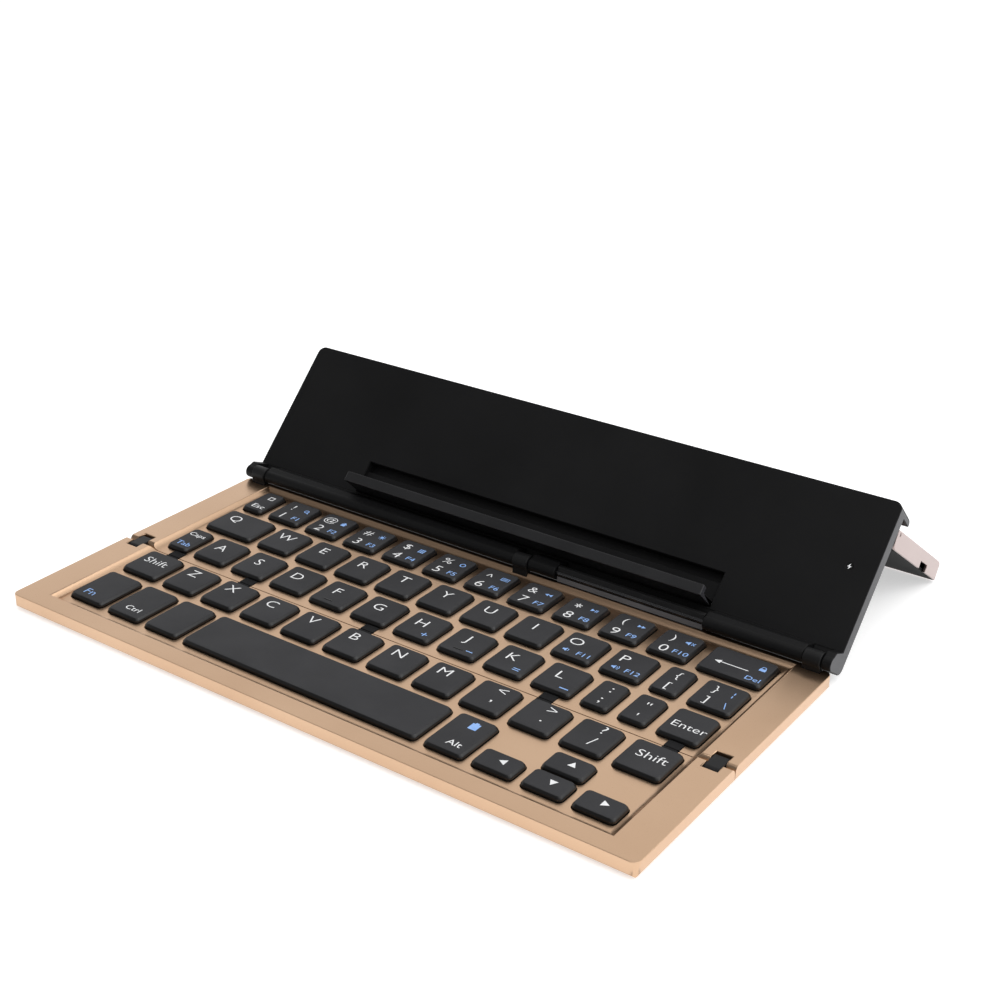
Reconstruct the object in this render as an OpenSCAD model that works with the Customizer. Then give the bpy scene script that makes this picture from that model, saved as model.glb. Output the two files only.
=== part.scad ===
// Folding keyboard with a tablet cover: two shallow aluminium leaves that fold face to face on
// double-pivot links, and a black cover at the rear with a tablet ledge and a fold-out stand.
// The working frame has x from the left edge, y from the front edge and z from the rim's top.

/* [Leaves] */
// Overall width of both leaves and of the cover
width = 247; // [240:1:256]
// Thickness of a leaf without its feet
leaf_t = 5.2; // [5.0:0.1:6.0]
// Width of the flat rim at each side
rim_side = 11.5; // [10.5:0.5:13]
// Width of the flat rim along the front edge
rim_front = 7; // [5:0.5:10]
// Width of the flat rim along the rear edge
rim_rear = 1.8; // [1.6:0.1:2.6]
// Depth of the key deck below the rim
deck_drop = 1.8; // [1.6:0.1:2.0]
// Run of the recess wall before its soft foot
wall_run = 1.2; // [0.8:0.1:1.6]
// How far the wall's soft foot runs out over the deck
wall_foot = 1.75; // [1.2:0.05:1.8]
// Thickness of the key deck
deck_t = 0.8; // [0.6:0.1:0.9]
// Corner radius of the leaves seen from above
leaf_corner_r = 2.5; // [1.5:0.5:3.5]
// Radius of the lower outside edges
lower_edge_r = 1.6; // [1.0:0.1:2.0]
// Thickness of the base plates
base_t = 0.7; // [0.6:0.1:0.8]
// Land left between a base plate and the leaf's outer face
base_inset = 2.4; // [2.2:0.1:3.0]
// Height of the rubber feet
foot_h = 0.8; // [0.5:0.1:0.9]
// Radius of the rubber feet
foot_r = 4; // [3:0.5:5]

/* [Keys] */
// Width of a letter key
letter_w = 14.5; // [14:0.1:15]
// Depth of a letter key
letter_d = 15.4; // [14.6:0.1:16]
// Depth of the front row, where the space bar is
front_row_d = 19.6; // [18.8:0.2:21]
// Gap between keys in the four upper rows
key_gap = 3.7; // [3.3:0.1:3.9]
// Gap between keys in the front row
front_row_gap = 3; // [2.6:0.1:3.4]
// Gap between the stacked up and down keys
stack_gap = 1.2; // [1.0:0.1:1.6]
// Gap between two rows
row_gap = 3.8; // [3.2:0.1:4.6]
// Width of the escape and caps keys
narrow_w = 9.2; // [8.8:0.1:10]
// Width of the punctuation keys beside the letters
mark_w = 9.6; // [9.0:0.1:10]
// Width of the closing bracket key
bracket_w = 14.8; // [14:0.1:15.6]
// Width of the backspace key
backspace_w = 22.5; // [21:0.1:24]
// Width of the q key
q_w = 21.8; // [20:0.1:23]
// Width of the enter key
enter_w = 14.1; // [13:0.1:15]
// Width of the shift keys
shift_w = 15.85; // [15:0.05:17]
// Width of the fn key
fn_w = 15.2; // [14:0.1:16]
// Width of the control and system keys
control_w = 14.6; // [14:0.1:15.4]
// Width of the space bar
space_w = 95.6; // [88:0.2:100]
// Width of the alt and arrow keys
arrow_w = 14.1; // [13.6:0.1:14.8]
// Distance from the recess wall to the outer keys at the sides
side_margin = 2.1; // [1.6:0.1:3]
// Distance from the recess wall to the front row
front_margin = 4; // [3:0.1:5]
// Distance from the back row to the recess wall
rear_margin = 2.3; // [1.8:0.1:3.2]
// Distance from the front leaf's keys to its fold edge
fold_margin_front = 2.1; // [1.9:0.1:3]
// Distance from the rear leaf's keys to its fold edge
fold_margin_rear = 3.7; // [3.5:0.1:4.6]
// Corner radius of a key
key_corner_r = 1.6; // [1.2:0.1:2.0]
// Inset of a key's top from its skirt
key_taper = 0.7; // [0.5:0.1:0.9]
// Height of a key
key_h = 2.2; // [2.1:0.1:2.3]
// Depth of the key tops below the rim
key_top_drop = 0.1; // [0.05:0.05:0.3]
// Wall of a keycap's skirt
key_wall = 1; // [0.8:0.1:1.2]
// Thickness of a keycap's top
key_top_t = 1; // [0.8:0.1:1.0]
// How far a key travels when pressed
key_travel = 1.2; // [0.8:0.1:1.2]
// Clearance between a key and its window
key_clearance = 0.25; // [0.2:0.05:0.35]

/* [Fold] */
// Gap between the two open leaves
fold_gap = 0.2; // [0.15:0.05:0.3]
// Gap between the two rims when folded
closed_gap = 0.6; // [0.5:0.1:0.8]
// Distance between the two pins of a fold link
link_pitch = 5; // [4.8:0.1:5.2]
// Half the thickness of a fold link
link_r = 2; // [1.8:0.1:2.1]
// Width of a fold link
link_w = 5; // [4:0.5:5.5]
// Distance from the leaf's side to the fold link
link_inset = 3.4; // [3:0.1:4]
// Radius of the fold pins
fold_pin_r = 0.7; // [0.5:0.05:0.8]
// How far a fold pin reaches into the leaf beside its pocket
fold_pin_reach = 1.8; // [1.2:0.1:2.2]
// Width of the pads let into both fold edges
pad_w = 5.2; // [4:0.2:6]

/* [Rear hinge] */
// Height of the hinge axis above the rim
hinge_z = 3; // [2.9:0.1:3.4]
// Distance of the hinge axis in front of the rear leaf's edge
hinge_in = 0.2; // [0:0.1:0.4]
// Radius of the cover's barrel
barrel_r = 2.4; // [2.1:0.1:2.5]
// Radius of the hinge pin
hinge_pin_r = 1; // [0.8:0.1:1.2]
// Width of a hinge ear
ear_w = 6; // [5:0.5:7]
// Depth of a hinge ear's seat in the rear rim
ear_depth = 2.6; // [2.4:0.1:3]
// Radius of a hinge ear
ear_r = 2.9; // [2.6:0.1:3.0]
// Distance from the cover's side to the outer ears
ear_inset = 3.5; // [3:0.5:5]
// How far the middle ear stands right of the centre
middle_ear_shift = 6.5; // [0:0.5:12]
// Left end of the cable duct, right of the centre
duct_start = 21; // [18:1:30]
// Length of the cable duct
duct_len = 57; // [40:1:60]

/* [Cover] */
// Angle of the cover above the table
tilt = 45; // [40:1:50]
// Distance from the hinge axis to the cover's inner face
face_offset = 4.3; // [4.2:0.1:4.8]
// Distance from the hinge axis to the cover's top edge
cover_len = 58.4; // [57:0.2:62]
// How far the cover reaches past the hinge axis
cover_tail = 1.4; // [1.0:0.1:1.4]
// Thickness of the cover without its spine
cover_t = 5.2; // [5.2:0.1:6.0]
// Thickness of the cover's walls
cover_wall = 1.1; // [0.9:0.1:1.1]
// Thickness of the cover's side walls
cover_side = 2; // [1.6:0.1:2.4]
// Corner radius of the cover seen from its face
cover_corner_r = 3; // [2:0.5:4]
// Radius of the cover's lower back edge
tail_edge_r = 3; // [2:0.5:3.5]
// Distance of the charge lamp from the cover's right side
lens_inset = 9; // [8:0.5:12]
// Distance of the charge lamp from the hinge axis
lens_s = 33; // [28:1:44]
// Length of the battery
battery_w = 92; // [80:1:110]
// Depth of the battery
battery_d = 30; // [24:1:31]

/* [Tablet ledge] */
// Length of the ledge
ledge_len = 151; // [130:1:152]
// Distance from the hinge axis to the ledge's floor
ledge_s = 8.3; // [8.2:0.1:9]
// Thickness of the ledge's floor
ledge_floor_t = 1.7; // [1.5:0.1:1.8]
// Room for the tablet's thickness
tablet_room = 7.4; // [6.5:0.1:8.5]
// Thickness of the lip
lip_t = 2.6; // [2:0.1:3]
// Height of the lip above the floor
lip_h = 2.1; // [1.5:0.1:2.1]
// Radius of the ledge's pins
ledge_pin_r = 0.45; // [0.35:0.05:0.5]

/* [Stand] */
// Distance from the hinge axis to the stand's pivot, along the cover
stand_s = 51.1; // [50:0.1:51.5]
// Length of the stand beyond its pivot
stand_len = 52.5; // [48:0.5:52.5]
// How far the stand reaches behind its pivot
stand_heel = 2.7; // [2.2:0.1:2.8]
// Thickness of the stand
stand_t = 6.6; // [5.8:0.1:7.2]
// Distance from the stand's pivot to its outer face
stand_skin = 1.3; // [1.2:0.1:1.5]
// Thickness of the stand's shell
stand_wall = 1; // [0.8:0.1:1.1]
// Distance from the keyboard's side to the stand's side
stand_inset = 1; // [0.5:0.1:2]
// Radius of the stand's far edge
stand_edge_r = 5; // [3:0.5:5]
// Radius of the stand's pins
stand_pin_r = 0.6; // [0.5:0.05:0.7]
// Width of a stand lug
lug_w = 6; // [4:0.5:7]
// Distance from the keyboard's side to a stand lug
lug_inset = 10; // [9:0.5:13]
// Distance of the notch in the stand's right wall from the pivot
notch_u = 29; // [20:1:36]
// Length of the notch
notch_len = 7.7; // [5:0.1:9]
// Depth of the notch
notch_d = 2.6; // [2:0.1:3.4]

/* [Hidden] */
$fn = 48;
eps = 0.01;
far = 400;
fit_gap = 0.1;         // around a piece that is laid in its seat
run_gap = 0.05;        // around a pin that turns
fix_gap = 0.02;        // around a pin that is fixed
side_gap = 0.3;        // beside a piece that turns
stand_gap = 0.3;       // between the folded stand and the cover's back
heel_gap = 0.6;        // between the stand's heel and the spine
slit = 0.4;            // around the folded ledge

// Keys and leaf depths, worked out from the rows
deck_z = -deck_drop;
key_top_z = -key_top_drop;
deck_x = rim_side + wall_run;
row_x = deck_x + side_margin;
span = width - 2 * row_x;
front_row_y = rim_front + wall_run + front_margin;
letter_row_y = front_row_y + front_row_d + row_gap;
front_edge = letter_row_y + letter_d + fold_margin_front;
rear_start = front_edge + fold_gap;
home_row_y = rear_start + fold_margin_rear;
top_row_y = home_row_y + letter_d + row_gap;
digit_row_y = top_row_y + letter_d + row_gap;
deck_rear = digit_row_y + letter_d + rear_margin;
rear_edge = deck_rear + wall_run + rim_rear;
half_key_d = (front_row_d - stack_gap) / 2;

// The recess wall: one arc from the rim's edge down to the deck, as distance and height
wall_reach = wall_run + wall_foot;
wall_lean = 2 * atan(deck_drop / wall_reach);
wall_r = deck_drop / (1 - cos(wall_lean));
wall_steps = 6;
wall_line = concat([[-1 / tan(wall_lean), 1]], [
    for (i = [0:wall_steps]) let (lean = wall_lean * (1 - i / wall_steps))
        [wall_reach - wall_r * sin(lean), deck_z + wall_r * (1 - cos(lean))]
]);

// Each row: its y, its depth, its gap and its keys' widths, all fitted alike to the recess
function total(v, i = 0) = i < len(v) ? v[i] + total(v, i + 1) : 0;
function repeat(w, n) = [for (i = [1:n]) w];
function fitted(widths, gap) = widths * (span - gap * (len(widths) - 1)) / total(widths);
digit_w = concat([narrow_w], repeat(letter_w, 10), [backspace_w]);
top_w = concat([q_w], repeat(letter_w, 9), [mark_w, bracket_w]);
home_w = concat([narrow_w], repeat(letter_w, 9), [mark_w, mark_w, enter_w]);
bottom_w = concat([shift_w], repeat(letter_w, 10), [shift_w]);
front_w = concat([fn_w, control_w, control_w, space_w], repeat(arrow_w, 4));
ROWS = [
    [digit_row_y, letter_d, key_gap, fitted(digit_w, key_gap)],
    [top_row_y, letter_d, key_gap, fitted(top_w, key_gap)],
    [home_row_y, letter_d, key_gap, fitted(home_w, key_gap)],
    [letter_row_y, letter_d, key_gap, fitted(bottom_w, key_gap)],
    [front_row_y, front_row_d, front_row_gap, fitted(front_w, front_row_gap)]
];
function key_x(row, i) = row_x + total([for (k = [0:1:i - 1]) ROWS[row][3][k] + ROWS[row][2]]);
// A key as [x, y, width, depth]; part is 0 for a whole key, 1 for its front half, 2 for its rear half
function key_box(row, i, part = 0) = [
    key_x(row, i),
    ROWS[row][0] + (part == 2 ? half_key_d + stack_gap : 0),
    ROWS[row][3][i],
    part == 0 ? ROWS[row][1] : half_key_d
];
// Keys by node: name, row, first key, last key and part
KEYS = [
    ["key_esc", 0, 0, 0, 0], ["keys_digits", 0, 1, 10, 0], ["key_backspace", 0, 11, 11, 0],
    ["key_q", 1, 0, 0, 0], ["keys_top_letters", 1, 1, 9, 0], ["key_bracket_open", 1, 10, 10, 0],
    ["key_bracket_close", 1, 11, 11, 0], ["key_caps", 2, 0, 0, 0], ["keys_home_letters", 2, 1, 9, 0],
    ["key_semicolon", 2, 10, 10, 0], ["key_quote", 2, 11, 11, 0], ["key_enter", 2, 12, 12, 0],
    ["key_shift_left", 3, 0, 0, 0], ["keys_bottom_letters", 3, 1, 10, 0],
    ["key_shift_right", 3, 11, 11, 0], ["key_fn", 4, 0, 0, 0], ["key_control", 4, 1, 1, 0],
    ["key_system", 4, 2, 2, 0], ["key_space", 4, 3, 3, 0], ["key_alt", 4, 4, 4, 0],
    ["key_left", 4, 5, 5, 1], ["key_down", 4, 6, 6, 1], ["key_up", 4, 6, 6, 2],
    ["key_right", 4, 7, 7, 1]
];
FIRST_FRONT_ROW = 3;
function boxes(front) = [
    for (k = KEYS) if ((k[1] >= FIRST_FRONT_ROW) == front) for (i = [k[2]:k[3]]) key_box(k[1], i, k[4])
];

// Layers inside a leaf, from the bottom up
base_z = -leaf_t + base_t;
support_t = 0.4;
membrane_t = 0.2;
support_z = base_z + support_t;
membrane_z = support_z + membrane_t;
dome_h = 1.2;
dome_widest = 2.6;
scissor_h = 0.6;
scissor_w = 10;
scissor_d = 9;
scissor_bar = 0.9;
cavity_top = deck_z - deck_t;
cavity_x = deck_x;
fold_wall = 1.4;
front_cavity = [rim_front - 0.5, front_edge - fold_wall];
rear_cavity = [rear_start + fold_wall, deck_rear + 0.3];

// Fold: a pin in each leaf, and a link from one to the other
fold_y = front_edge + fold_gap / 2;
pin_drop = (link_pitch - closed_gap) / 2;
front_pin_y = fold_y - link_pitch / 2;
rear_pin_y = fold_y + link_pitch / 2;
fold_edge_r = link_pitch / 2 - fold_gap / 2;
pocket_r = link_r + 0.15;
link_x = [link_inset, width - link_inset - link_w];
pad_x = [for (share = [0.09, 0.231, 0.451, 0.737, 0.915]) share * width];
pad_top = deck_z + 0.3;
pad_bottom = deck_z - deck_t - 0.6;
front_pad_y = [front_edge - fold_margin_front + key_clearance, front_edge];
rear_pad_y = [rear_start, rear_start + fold_margin_rear - key_clearance];

// Rear hinge
hinge_y = rear_edge - hinge_in;
ear_x = [ear_inset, width / 2 + middle_ear_shift - ear_w / 2, width - ear_inset - ear_w];
ear_front = rear_edge - ear_depth;
ear_foot = 2.4;
pin_end = 1.1;
duct_x = width / 2 + duct_start;
duct_front = rear_edge - 1;
duct_step = 0.4;
duct_top = 2.5;
duct_rear = 2.5;
duct_slant = 1.4;
tongue_in = 3;
tongue_back = 0.4;
tongue_t = 0.5;
tongue_h = 1.6;

// Cover, in its own frame: y along the cover from the hinge axis, z out of its inner face
face_t = -face_offset;
back_t = face_t - cover_t;
plate_t = back_t + cover_wall;
inside_t = face_t - cover_wall;
spine_t = back_t - stand_gap - stand_t;
stand_swing_r = sqrt(stand_heel * stand_heel + stand_skin * stand_skin);
spine_s = stand_s + stand_swing_r + heel_gap;
cavity_s = 1;
web_s = 5.6;
break_relief = 0.2;

// Ledge, turning about a pivot just below the cover's inner face
ledge_r = ledge_floor_t / 2;
ledge_pivot_s = ledge_s - ledge_r;
ledge_pivot_t = face_t - fit_gap - ledge_r;
lip_start = face_t + tablet_room;
lip_end = lip_start + lip_t;
lip_top = ledge_s + lip_h;
ledge_x = (width - ledge_len) / 2;
folded_end = ledge_pivot_s + lip_end - ledge_pivot_t;
groove_start = ledge_pivot_s + lip_start - ledge_pivot_t;
ledge_pin_len = 8;
ledge_block = 2.6;

// Room for the battery and the boards, above the ledge's block
bay_s = folded_end + ledge_block + 0.5;
battery_x = (width - battery_w) / 2;
board_w = 52;
lens_x = width - lens_inset;
lamp_board = [8, 5];

// Stand, in its own frame: y away from the pivot, z from its inner side to its outer side
stand_inner = stand_skin - stand_t;
stand_t_pos = back_t - stand_gap + stand_inner;
pivot_y = hinge_y + stand_s * cos(tilt) - stand_t_pos * sin(tilt);
pivot_z = hinge_z + stand_s * sin(tilt) + stand_t_pos * cos(tilt);
floor_z = -leaf_t - foot_h;
stand_reach = sqrt(stand_len * stand_len + stand_inner * stand_inner);
stand_angle = asin((floor_z - pivot_z) / stand_reach) - atan2(stand_inner, stand_len);
heel_turn = atan2(stand_skin, -stand_heel) + stand_angle - tilt;
stop_s = stand_s + stand_swing_r * cos(heel_turn);
stop_t = stand_t_pos + stand_swing_r * sin(heel_turn) + fit_gap;
lug_x = [lug_inset, width - lug_inset - lug_w];
lug_neck = 2;
knuckle_len = 7;
stop_w = 30;
stop_d = 1.2;
liner_t = 1;
liner_start = stand_skin + 1;
lug_notch = stand_skin + 0.5;

// The object's origin is the centre of its footprint, on the table
edge_y = stand_len - stand_edge_r;
edge_z = stand_skin - stand_edge_r;
total_depth = pivot_y + edge_y * cos(stand_angle) - edge_z * sin(stand_angle) + stand_edge_r;

GOLD = [0.83, 0.69, 0.56];
BLACK = [0.10, 0.10, 0.11];
KEY_GREY = [0.24, 0.24, 0.26];
STEEL = [0.72, 0.73, 0.75];
RUBBER = [0.13, 0.13, 0.13];

// ---------- Placing and simple shapes ----------

module keyboard() {
    translate([-width / 2, -total_depth / 2, -floor_z]) children();
}

module in_cover() {
    keyboard() translate([0, hinge_y, hinge_z]) rotate([tilt, 0, 0]) children();
}

module in_stand() {
    keyboard() translate([0, pivot_y, pivot_z]) rotate([stand_angle, 0, 0]) children();
}

// A flat outline given in y and z, drawn from one x to another
module along_x(from, to) {
    translate([from, 0, 0]) rotate([90, 0, 90]) linear_extrude(to - from) children();
}

// A flat outline given in x and z, drawn from one y to another
module along_y(from, to) {
    translate([0, to, 0]) rotate([90, 0, 0]) linear_extrude(to - from) children();
}

module box(from, to) {
    translate(from) cube(to - from);
}

module rod_x(from, to, y, z, r) {
    translate([from, y, z]) rotate([0, 90, 0]) cylinder(h = to - from, r = r);
}

module rounded_rect(size, r) {
    translate([r, 0]) square([size[0] - 2 * r, size[1]]);
    translate([0, r]) square([size[0], size[1] - 2 * r]);
    for (x = [r, size[0] - r], y = [r, size[1] - r]) translate([x, y]) circle(r);
}

module rounded_slab(x, y, w, d, z, h, r) {
    translate([x, y, z]) linear_extrude(h) rounded_rect([w, d], r);
}

// What is left outside a quarter circle: taken away, it rounds a corner at [0, 0] that points to -x, -y
module corner_cut(r) {
    difference() {
        translate([-1, -1]) square(r + 1);
        translate([r, r]) circle(r);
    }
}

// ---------- Leaves ----------

// Side view of a leaf whose fold edge is at fold_end and whose outer edge is at outer_end
module leaf_profile(outer_end, fold_end, pin_y) {
    way = fold_end > outer_end ? 1 : -1;
    difference() {
        translate([min(outer_end, fold_end), -leaf_t]) square([abs(fold_end - outer_end), leaf_t]);
        translate([outer_end, -leaf_t]) mirror([way < 0 ? 1 : 0, 0]) corner_cut(lower_edge_r);
        translate([pin_y, -pin_drop]) mirror([way < 0 ? 1 : 0, 0]) difference() {
            square(far);
            circle(fold_edge_r);
        }
    }
}

module leaf_block(outer_end, fold_end, pin_y) {
    low = min(outer_end, fold_end);
    high = max(outer_end, fold_end);
    way = fold_end > outer_end ? 1 : -1;
    intersection() {
        along_x(0, width) leaf_profile(outer_end, fold_end, pin_y);
        along_y(low, high) difference() {
            translate([0, -leaf_t]) square([width, leaf_t]);
            translate([0, -leaf_t]) corner_cut(lower_edge_r);
            translate([width, -leaf_t]) mirror([1, 0]) corner_cut(lower_edge_r);
        }
        translate([0, 0, -leaf_t - 1]) linear_extrude(leaf_t + 2) difference() {
            translate([0, low]) square([width, high - low]);
            for (side = [0, 1]) translate([side * width, outer_end])
                mirror([side, 0]) mirror([0, way < 0 ? 1 : 0]) corner_cut(leaf_corner_r);
        }
    }
}

// The shallow recess: soft walls at the sides and at the outer end, open at the fold
module recess(outer_end, fold_end) {
    way = fold_end > outer_end ? 1 : -1;
    past = fold_end + way * 5;
    intersection() {
        along_x(0, width) polygon(concat(
            [for (p = wall_line) [outer_end + way * p[0], p[1]]],
            [[past, deck_z], [past, 1]]
        ));
        along_y(min(outer_end, past) - 2, max(outer_end, past) + 2) polygon(concat(
            [for (p = wall_line) [rim_side + p[0], p[1]]],
            [for (i = [len(wall_line) - 1:-1:0]) [width - rim_side - wall_line[i][0], wall_line[i][1]]]
        ));
    }
}

module key_windows(keys) {
    for (k = keys)
        rounded_slab(k[0] - key_clearance, k[1] - key_clearance, k[2] + 2 * key_clearance,
            k[3] + 2 * key_clearance, cavity_top - 1, deck_t + 2, key_corner_r + key_clearance);
}

// Room for a fold link: it lies towards the fold when open and stands up when folded
module link_pockets(pin_y, way) {
    for (x = link_x) {
        along_x(x - fit_gap, x + link_w + fit_gap) translate([pin_y, -pin_drop]) {
            circle(pocket_r);
            translate([way > 0 ? 0 : -link_pitch, -pocket_r]) square([link_pitch, pocket_r]);
            translate([way > 0 ? -pocket_r : -link_pitch, 0]) square([link_pitch + pocket_r, pin_drop + 1]);
        }
        rod_x(x - fold_pin_reach - fit_gap, x + link_w + fold_pin_reach + fit_gap, pin_y, -pin_drop,
            fold_pin_r + run_gap);
    }
}

function base_corner(outer, fold) = [base_inset, min(outer, fold) + (outer < fold ? base_inset : 1.2)];
function base_size(outer, fold) = [width - 2 * base_inset, abs(fold - outer) - base_inset - 1.2];

module base_seat(outer, fold) {
    corner = base_corner(outer, fold);
    size = base_size(outer, fold);
    box([corner[0] - fit_gap, corner[1] - fit_gap, -leaf_t - 1],
        [corner[0] + size[0] + fit_gap, corner[1] + size[1] + fit_gap, base_z]);
}

screw_side = 7;
screw_edge = 14;
screw_fold = 13;
function screw_spots(front) = [
    for (x = [screw_side, width - screw_side], y = front
        ? [screw_edge, front_edge - screw_fold]
        : [rear_start + screw_fold, rear_edge - screw_edge]) [x, y]
];
screw_r = 0.7;
screw_len = 2.4;
screw_head_r = 1.3;
screw_head_h = 0.4;

module screw_holes(front) {
    for (p = screw_spots(front)) translate([p[0], p[1], base_z - eps])
        cylinder(h = screw_len - base_t + screw_head_h + 0.3, r = screw_r + fix_gap);
}

module leaf_frame(outer_end, fold_end, pin_y, recess_end, cavity, front) {
    difference() {
        leaf_block(outer_end, fold_end, pin_y);
        recess(recess_end, fold_end);
        key_windows(boxes(front));
        box([cavity_x, cavity[0], base_z - 1], [width - cavity_x, cavity[1], cavity_top]);
        base_seat(outer_end, fold_end);
        link_pockets(pin_y, front ? 1 : -1);
        screw_holes(front);
    }
}

module pad_notches(reach) {
    for (x = pad_x) box([x - pad_w / 2 - fit_gap, reach[0] - 1, pad_bottom - fit_gap],
        [x + pad_w / 2 + fit_gap, reach[1] + 1, 1]);
}

module front_frame() color(GOLD) keyboard() difference() {
    leaf_frame(0, front_edge, front_pin_y, rim_front, front_cavity, true);
    pad_notches(front_pad_y);
}

module rear_frame() color(GOLD) keyboard() difference() {
    leaf_frame(rear_edge, rear_start, rear_pin_y, rear_edge - rim_rear, rear_cavity, false);
    pad_notches(rear_pad_y);
    for (x = ear_x) box([x - fit_gap, ear_front - fit_gap, -ear_foot - fit_gap],
        [x + ear_w + fit_gap, rear_edge + 1, 1]);
    duct_tongue(fit_gap);
}

module base_plate(outer, fold, front) {
    corner = base_corner(outer, fold);
    size = base_size(outer, fold);
    difference() {
        box([corner[0], corner[1], -leaf_t], [corner[0] + size[0], corner[1] + size[1], base_z]);
        for (p = screw_spots(front)) translate([p[0], p[1], -leaf_t - eps]) {
            cylinder(h = leaf_t, r = screw_r + fix_gap);
            cylinder(h = screw_head_h + eps, r = screw_head_r + fix_gap);
        }
    }
}

module front_base_plate() color(GOLD) keyboard() base_plate(0, front_edge, true);
module rear_base_plate() color(GOLD) keyboard() base_plate(rear_edge, rear_start, false);

module screws(front) {
    for (p = screw_spots(front)) translate([p[0], p[1], -leaf_t]) {
        cylinder(h = screw_head_h, r = screw_head_r);
        cylinder(h = screw_len, r = screw_r);
    }
}

module front_screws() color(STEEL) keyboard() screws(true);
module rear_screws() color(STEEL) keyboard() screws(false);

// A thin layer that fills a leaf's cavity
module layer(cavity, z0, z1) {
    box([cavity_x + fit_gap, cavity[0] + fit_gap, z0],
        [width - cavity_x - fit_gap, cavity[1] - fit_gap, z1]);
}

module front_support_plate() color(STEEL) keyboard() layer(front_cavity, base_z, support_z);
module rear_support_plate() color(STEEL) keyboard() layer(rear_cavity, base_z, support_z);
module front_membrane() color([0.55, 0.62, 0.55]) keyboard() layer(front_cavity, support_z, membrane_z);
module rear_membrane() color([0.55, 0.62, 0.55]) keyboard() layer(rear_cavity, support_z, membrane_z);

// The two nested frames of a scissor mechanism under one key
function scissor_size(k) = [
    min(scissor_w, k[2] - 2 * key_wall - 0.6), min(scissor_d, k[3] - 2 * key_wall - 0.6)
];
function inner_size(k) = scissor_size(k) - [2 * scissor_bar + 0.6, 2 * scissor_bar + 0.4];
function dome_r(k) = min(dome_widest, min(inner_size(k)) / 2 - scissor_bar - side_gap);

module ring(w, d) {
    difference() {
        translate([-w / 2, -d / 2, 0]) cube([w, d, scissor_h]);
        translate([scissor_bar - w / 2, scissor_bar - d / 2, -1])
            cube([w - 2 * scissor_bar, d - 2 * scissor_bar, scissor_h + 2]);
    }
}

module scissors(keys) {
    for (k = keys) translate([k[0] + k[2] / 2, k[1] + k[3] / 2, membrane_z]) {
        inner = inner_size(k);
        ring(scissor_size(k)[0], scissor_size(k)[1]);
        ring(inner[0], inner[1]);
        for (side = [-1, 1]) translate([side * (inner[0] - scissor_bar) / 2, 0, scissor_h / 2])
            rotate([0, side * 90, 0]) cylinder(h = 2 * scissor_bar, r = scissor_h / 2 - 0.05, $fn = 24);
    }
}

module front_scissors() color([0.92, 0.92, 0.90]) keyboard() scissors(boxes(true));
module rear_scissors() color([0.92, 0.92, 0.90]) keyboard() scissors(boxes(false));

module domes(keys) {
    for (k = keys) translate([k[0] + k[2] / 2, k[1] + k[3] / 2, membrane_z])
        cylinder(h = dome_h, r1 = dome_r(k), r2 = dome_r(k) * 0.6, $fn = 32);
}

module front_domes() color([0.85, 0.85, 0.82]) keyboard() domes(boxes(true));
module rear_domes() color([0.85, 0.85, 0.82]) keyboard() domes(boxes(false));

foot_side = 14;
foot_edge = 11;
foot_fold = 10;
module feet(ys) {
    for (x = [foot_side, width - foot_side], y = ys) translate([x, y, floor_z])
        cylinder(h = foot_h, r = foot_r);
}

module front_feet() color(RUBBER) keyboard() feet([foot_edge, front_edge - foot_fold]);
module rear_feet() color(RUBBER) keyboard() feet([rear_start + foot_fold, rear_edge - foot_fold]);

// Pads from each fold edge to the nearest key windows
module front_edge_pads() color(RUBBER) keyboard() for (x = pad_x)
    intersection() {
        box([x - pad_w / 2, front_pad_y[0], pad_bottom], [x + pad_w / 2, front_pad_y[1], pad_top]);
        along_x(0, width) leaf_profile(0, front_edge, front_pin_y);
    }

module rear_edge_pads() color(RUBBER) keyboard() for (x = pad_x)
    intersection() {
        box([x - pad_w / 2, rear_pad_y[0], pad_bottom], [x + pad_w / 2, rear_pad_y[1], pad_top]);
        along_x(0, width) leaf_profile(rear_edge, rear_start, rear_pin_y);
    }

// ---------- Fold links ----------

module fold_links() color(BLACK) keyboard() for (x = link_x)
    difference() {
        along_x(x, x + link_w) {
            translate([front_pin_y, -pin_drop - link_r]) square([link_pitch, 2 * link_r]);
            for (y = [front_pin_y, rear_pin_y]) translate([y, -pin_drop]) circle(link_r);
        }
        for (y = [front_pin_y, rear_pin_y]) rod_x(x - 1, x + link_w + 1, y, -pin_drop, fold_pin_r + fix_gap);
    }

module fold_pins() color(STEEL) keyboard() for (x = link_x, y = [front_pin_y, rear_pin_y])
    rod_x(x - fold_pin_reach, x + link_w + fold_pin_reach, y, -pin_drop, fold_pin_r);

// ---------- Rear hinge ----------

module hinge_ears() color(BLACK) keyboard() for (x = ear_x)
    difference() {
        along_x(x, x + ear_w) {
            translate([hinge_y, hinge_z]) circle(ear_r);
            polygon([
                [ear_front, -ear_foot], [ear_front, 0.5], [hinge_y - ear_r * 0.72, hinge_z + ear_r * 0.69],
                [hinge_y, hinge_z], [rear_edge, 0], [rear_edge, -ear_foot]
            ]);
        }
        rod_x(x - 1, x + ear_w + 1, hinge_y, hinge_z, hinge_pin_r + fix_gap);
    }

module hinge_pin() color(STEEL) keyboard()
    rod_x(pin_end + fit_gap, width - pin_end - fit_gap, hinge_y, hinge_z, hinge_pin_r);

// The tongue that holds the cable duct in the rear rim
module duct_tongue(grow) {
    box([duct_x + tongue_in - grow, rear_edge - tongue_back - tongue_t - grow, -tongue_h - grow],
        [duct_x + duct_len - tongue_in + grow, rear_edge - tongue_back + grow, 1]);
}

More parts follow.
